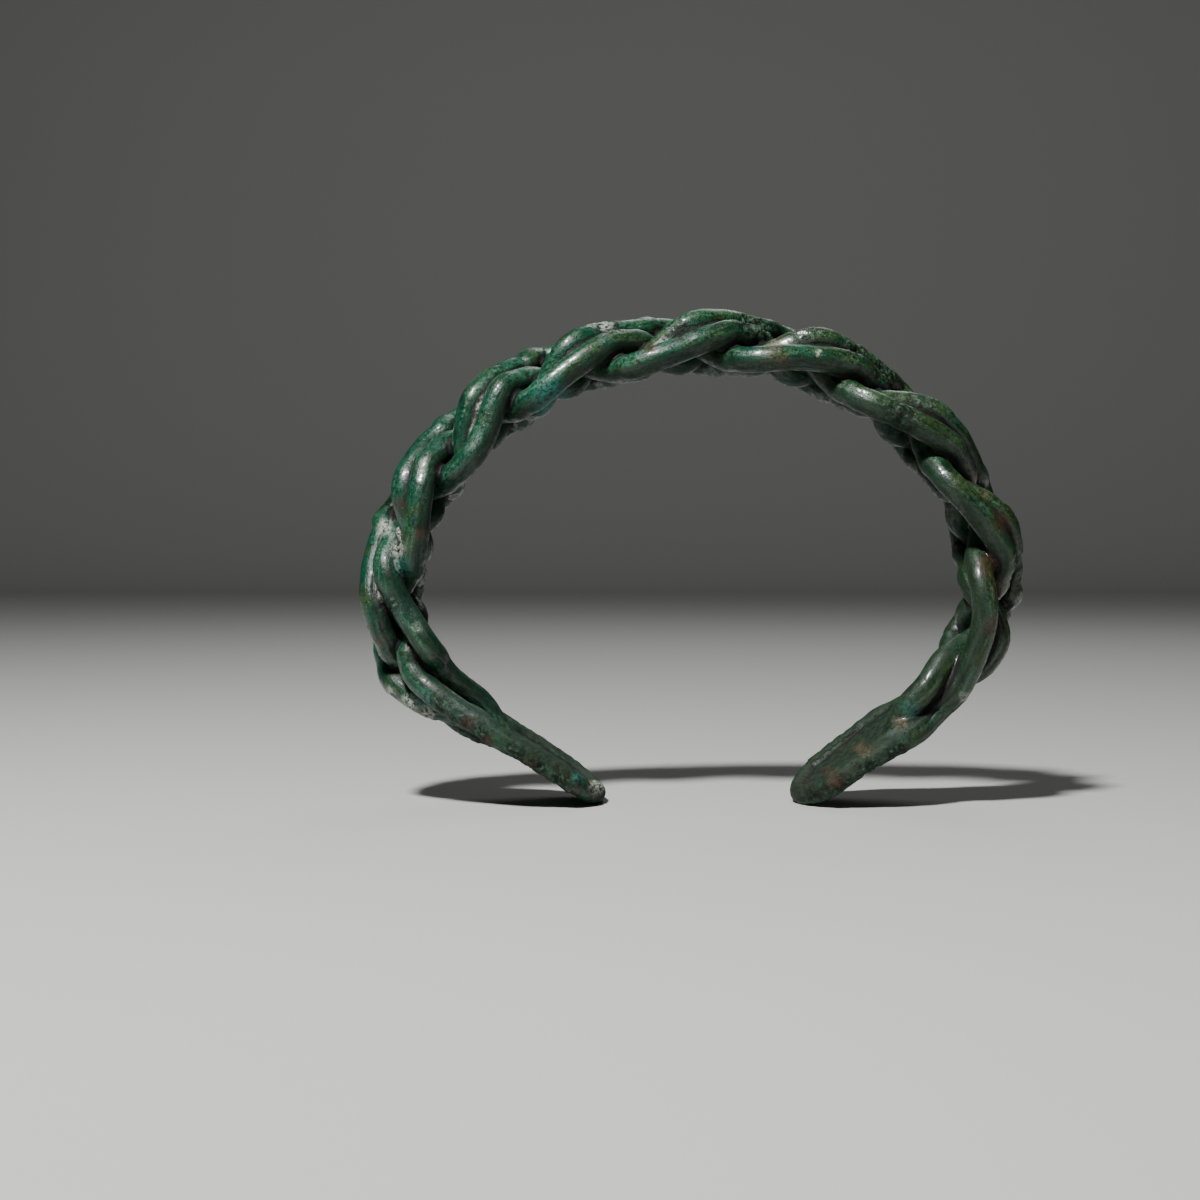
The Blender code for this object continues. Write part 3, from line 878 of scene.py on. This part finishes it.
def fit_box(points):
    points = points.copy()
    points[:, 2] = np.maximum(points[:, 2], low[2])
    top = points[:, 2].max()
    points[:, 2] = low[2] + (points[:, 2] - low[2]) * min(1.0, (high[2] - low[2]) / (top - low[2]))
    for axis in (0, 1):
        reach = (high[axis] - low[axis]) / np.ptp(points[:, axis])
        middle = 0.5 * (points[:, axis].max() + points[:, axis].min())
        points[:, axis] = 0.5 * (low[axis] + high[axis]) + (points[:, axis] - middle) * min(1.0, reach)
    return points


shaped = fit_box(shaped)
bracelet.data.vertices.foreach_set("co", (shaped * MM).astype(np.float32).ravel())
bracelet.data.update()

# %% [markdown]
# ## Thinning
# An even skin spends as many faces on smooth metal as on pits. Decimate joins faces where the surface is
# flat and keeps them where it is rough.

# %% Thin
MOST_TRIANGLES = 190_000
triangles = 2 * len(bracelet.data.polygons)
with_modifier_done(bracelet, "thinned", "DECIMATE", ratio=min(1.0, MOST_TRIANGLES / triangles))
print("thinned from", triangles, "to", len(bracelet.data.polygons), "triangles")

# %% [markdown]
# ## Telling the material about the plait
# The masks are worked out once more on the final points and stored as attributes. They travel with the
# mesh, so the patina stays in place whatever the view.

# %% Attributes
DEEP_HOLLOW = 0.04                # millimetres under the surroundings that count as fully hollow
TRAY_END = 14.0                   # the trays reach this far from a tip,
TRAY_FADE = 4.0                   # fading over this length

final_points = mesh_points(bracelet.data)
final_place = places_on_plait(final_points)


def hollow(mesh, points, normals, rounds=4):
    """How far each point lies under the mean of its surroundings, in millimetres."""
    edges = np.empty(len(mesh.edges) * 2, np.int32)
    mesh.edges.foreach_get("vertices", edges)
    a, b = edges.reshape(-1, 2).T
    count = np.bincount(a, minlength=len(points)) + np.bincount(b, minlength=len(points))
    mean = points
    for _ in range(rounds):
        total = np.stack([
            np.bincount(a, mean[b, k], len(points)) + np.bincount(b, mean[a, k], len(points))
            for k in range(3)
        ], -1)
        mean = 0.5 * mean + 0.5 * total / count[:, None]
    return ((mean - points) * normals).sum(1)


def store(mesh, name, values):
    kind = "FLOAT" if values.ndim == 1 else "FLOAT_VECTOR"
    field = "value" if values.ndim == 1 else "vector"
    attribute = mesh.attributes.new(name, kind, "POINT")
    attribute.data.foreach_set(field, values.astype(np.float32).ravel())


sunk = hollow(bracelet.data, final_points, mesh_normals(bracelet.data))
store(bracelet.data, "wire_space", wire_space(final_place))
store(bracelet.data, "crevice", final_place["crevice"])
store(bracelet.data, "hollow", np.clip(sunk / DEEP_HOLLOW, -1.0, 1.0))
for kind in SPOTS:
    store(bracelet.data, kind, spot_mask(final_points, kind))
store(bracelet.data, "slot", slot_mask(final_points, final_place))
inner_face = smooth_step(0.5 - 1.2 * np.cos(final_place["turn"]))
store(bracelet.data, "inside", inner_face)
store(bracelet.data, "terminal", smooth_step((ROUGH_END - final_place["from_tip"]) / ROUGH_FADE))
store(bracelet.data, "tray", smooth_step((TRAY_END - final_place["from_tip"]) / TRAY_FADE) * inner_face)
stored = sorted(a.name for a in bracelet.data.attributes if not a.name.startswith("."))
print("attributes:", ", ".join(stored))

# %% [markdown]
# ## Shader maths as expressions
# A node tree is easier to read as a formula. This small class wraps a socket, and each operator adds the
# Math node that does it. Colours go through Mix nodes.

# %% Expressions


class Term:
    """A number in a node tree that can be used in a formula."""

    def __init__(self, finish, socket):
        self.finish = finish
        self.socket = socket

    def _math(self, operation, *values):
        return self.finish.node("ShaderNodeMath", {"operation": operation}, dict(enumerate(values)))

    def __add__(self, other):
        return self._math("ADD", self, other)

    def __sub__(self, other):
        return self._math("SUBTRACT", self, other)

    def __rsub__(self, other):
        return self._math("SUBTRACT", other, self)

    def __mul__(self, other):
        return self._math("MULTIPLY", self, other)

    __radd__ = __add__

    def most(self, other):
        return self._math("MAXIMUM", self, other)

    def between(self, start, end):
        """0 up to start, 1 from end on, and smooth between them."""
        settings = {"interpolation_type": "SMOOTHSTEP"}
        inputs = {"Value": self, "From Min": start, "From Max": end}
        return self.finish.node("ShaderNodeMapRange", settings, inputs)


class Finish:
    """A material whose nodes are added by name."""

    def __init__(self, name):
        self.material = bpy.data.materials.new(name)
        self.material.use_nodes = True
        self.tree = self.material.node_tree
        self.shader = self.tree.nodes["Principled BSDF"]

    def node(self, kind, settings, inputs, output=0):
        made = self.tree.nodes.new(kind)
        for key, value in settings.items():
            setattr(made, key, value)
        for key, value in inputs.items():
            self.feed(made.inputs[key], value)
        return Term(self, made.outputs[output])

    def feed(self, socket, value):
        if isinstance(value, Term):
            self.tree.links.new(value.socket, socket)
        elif isinstance(value, tuple) and len(value) == 3 and socket.type == "RGBA":
            socket.default_value = (*value, 1.0)
        else:
            socket.default_value = value

    def attribute(self, name, output="Fac"):
        return self.node("ShaderNodeAttribute", {"attribute_name": name}, {}, output)

    def noise(self, place, scale, detail=2.0, roughness=0.5):
        inputs = {"Vector": place, "Scale": scale, "Detail": detail, "Roughness": roughness}
        return self.node("ShaderNodeTexNoise", {}, inputs)

    def cells(self, place, scale):
        return self.node("ShaderNodeTexVoronoi", {}, {"Vector": place, "Scale": scale})

    def scaled(self, place, amounts):
        return self.node("ShaderNodeVectorMath", {"operation": "MULTIPLY"}, {0: place, 1: amounts})

    def mix(self, share, first, second):
        return self.node("ShaderNodeMix", {"data_type": "RGBA"}, {0: share, 6: first, 7: second}, output=2)


print("expressions ready")

# %% [markdown]
# ## The patina
# Bronze in the ground grows a skin of green minerals over a dark red-brown oxide. On this bracelet the
# raised metal is smooth, dark green and half glossy. Patches are olive or teal, earth lies in the valleys,
# and pale crusts lie in a few grooves. The valleys, the hollows and the slot are painted nearly black,
# and the inner faces darker green: painted shade. Each layer is one colour and one mask.

# %% Patina
DEEP_GREEN = (0.0012, 0.0110, 0.0038)
MID_GREEN = (0.0085, 0.0530, 0.0190)
TEAL = (0.0016, 0.0430, 0.0250)
OLIVE = (0.0250, 0.0370, 0.0085)
BLOOM = (0.052, 0.140, 0.076)
# the darkest colour: real oxide in the eroded pits, and painted shade in the valleys, hollows and slot
OXIDE_AND_SHADE = (0.0012, 0.0015, 0.0008)
BROWN = (0.040, 0.015, 0.006)
EARTH = (0.085, 0.056, 0.028)
CRUST_GREY = (0.400, 0.430, 0.360)
BLUE_GREEN = (0.008, 0.130, 0.105)
GLOSS_IOR = 1.38
COAT_ROUGHNESS = 0.19

patina = Finish("green_patina")
object_place = patina.node("ShaderNodeTexCoord", {}, {}, "Object")
in_mm = patina.scaled(object_place, (1000.0, 1000.0, 1000.0))
on_wire = patina.attribute("wire_space", "Vector")
streaked = patina.scaled(on_wire, (1.0, 1.0, 0.22))
crevice = patina.attribute("crevice")
sunk_in = patina.attribute("hollow")
eroded = patina.attribute("eroded")
tray = patina.attribute("tray")
inside = patina.attribute("inside")
terminal = patina.attribute("terminal")
from_left = patina.node("ShaderNodeSeparateXYZ", {}, {"Vector": in_mm}, "X").between(-25.0, 30.0)

clouds = patina.noise(in_mm, 0.18, 3.0)
patches = patina.noise(in_mm, 0.40, 5.0, 0.62)
streaks = patina.noise(streaked, 1.1, 5.0, 0.65)
speckle = patina.noise(in_mm, 2.4, 4.0, 0.68)
grain = patina.noise(in_mm, 6.5, 3.0, 0.65)
pinholes = patina.cells(in_mm, 2.2)

colour = patina.mix(patches.between(0.38, 0.62), DEEP_GREEN, MID_GREEN)
teal_share = (clouds + from_left * -0.12).between(0.38, 0.52) * 0.8
colour = patina.mix(teal_share, colour, TEAL)
olive_share = (patina.noise(in_mm, 0.26, 4.0, 0.6) + from_left * 0.12).between(0.52, 0.66) * 0.7
colour = patina.mix(olive_share, colour, OLIVE)
colour = patina.mix(grain.between(0.48, 0.38) * 0.6, colour, DEEP_GREEN)
colour = patina.mix(grain.between(0.53, 0.62) * streaks.between(0.40, 0.60) * 0.6, colour, BLOOM)
colour = patina.mix(streaks.between(0.44, 0.66) * speckle.between(0.44, 0.60) * 0.55, colour, BLOOM)
colour = patina.mix(speckle.between(0.46, 0.38) * 0.85, colour, DEEP_GREEN)
colour = patina.mix(eroded * speckle.between(0.56, 0.46) * 0.8, colour, OXIDE_AND_SHADE)
colour = patina.mix(eroded * speckle.between(0.52, 0.62) * 0.40, colour, BLOOM)
colour = patina.mix(tray * patches.between(0.42, 0.60) * 0.5, colour, BROWN)
# painted shade: the inner faces of the wires are made darker green
colour = patina.mix(inside.between(0.2, 1.0) * 0.70, colour, DEEP_GREEN)
# painted shade: the hollows and the valleys between the wires are made near black
colour = patina.mix(sunk_in.between(0.10, 0.7) * 0.8, colour, OXIDE_AND_SHADE)
colour = patina.mix(crevice.between(0.20, 0.62) * 0.97, colour, OXIDE_AND_SHADE)
colour = patina.mix(patina.attribute("turquoise") * speckle.between(0.40, 0.56) * 0.7, colour, BLUE_GREEN)
colour = patina.mix(patina.attribute("rust") * speckle.between(0.38, 0.56) * 0.85, colour, BROWN)
earth = patina.attribute("earth") * (speckle + crevice * 0.4).between(0.40, 0.58)
colour = patina.mix(earth * 0.6, colour, EARTH)
in_groove = patina.attribute("groove_fill") * crevice.between(0.35, 0.75)
crust = (patina.attribute("pale_crust") * 0.8).most(in_groove) * (speckle + grain * 0.5).between(0.64, 0.80)
colour = patina.mix(crust, colour, CRUST_GREY)
# painted shade: the slot by the left tip is made near black
colour = patina.mix(patina.attribute("slot"), colour, OXIDE_AND_SHADE)
patina.feed(patina.shader.inputs["Base Color"], colour)

dull = crevice.between(0.3, 0.9) * 0.35 + eroded * 0.20 + crust * 0.45 + patches.between(0.45, 0.70) * 0.12
dull = dull + terminal * 0.16 + inside * 0.14
roughness = 0.30 + dull + speckle.between(0.48, 0.70) * 0.14
patina.feed(patina.shader.inputs["Roughness"], roughness)
polish = dull.between(0.36, 0.04) * speckle.between(0.60, 0.44) * streaks.between(0.34, 0.56) * 0.8
patina.feed(patina.shader.inputs["Coat Weight"], polish)

fine = streaks * 0.110 + speckle * 0.060 + grain * 0.018
holes = (1.0 - pinholes.between(0.0, 0.26)) * patches.between(0.42, 0.60) * 0.10
height = fine - holes + eroded * speckle * 0.09 + crust * grain * 0.03
bump = patina.node("ShaderNodeBump", {}, {"Strength": 1.0, "Distance": 1.0 * MM, "Height": height})
patina.feed(patina.shader.inputs["Normal"], bump)
patina.shader.inputs["IOR"].default_value = GLOSS_IOR
patina.shader.inputs["Coat Roughness"].default_value = COAT_ROUGHNESS

bracelet.data.materials.clear()
bracelet.data.materials.append(patina.material)
bracelet.data.shade_smooth()
print("patina has", len(patina.tree.nodes), "nodes")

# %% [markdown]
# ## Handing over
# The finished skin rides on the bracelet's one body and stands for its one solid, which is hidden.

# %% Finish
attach(bracelet, "root")
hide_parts("plaited_bracelet")
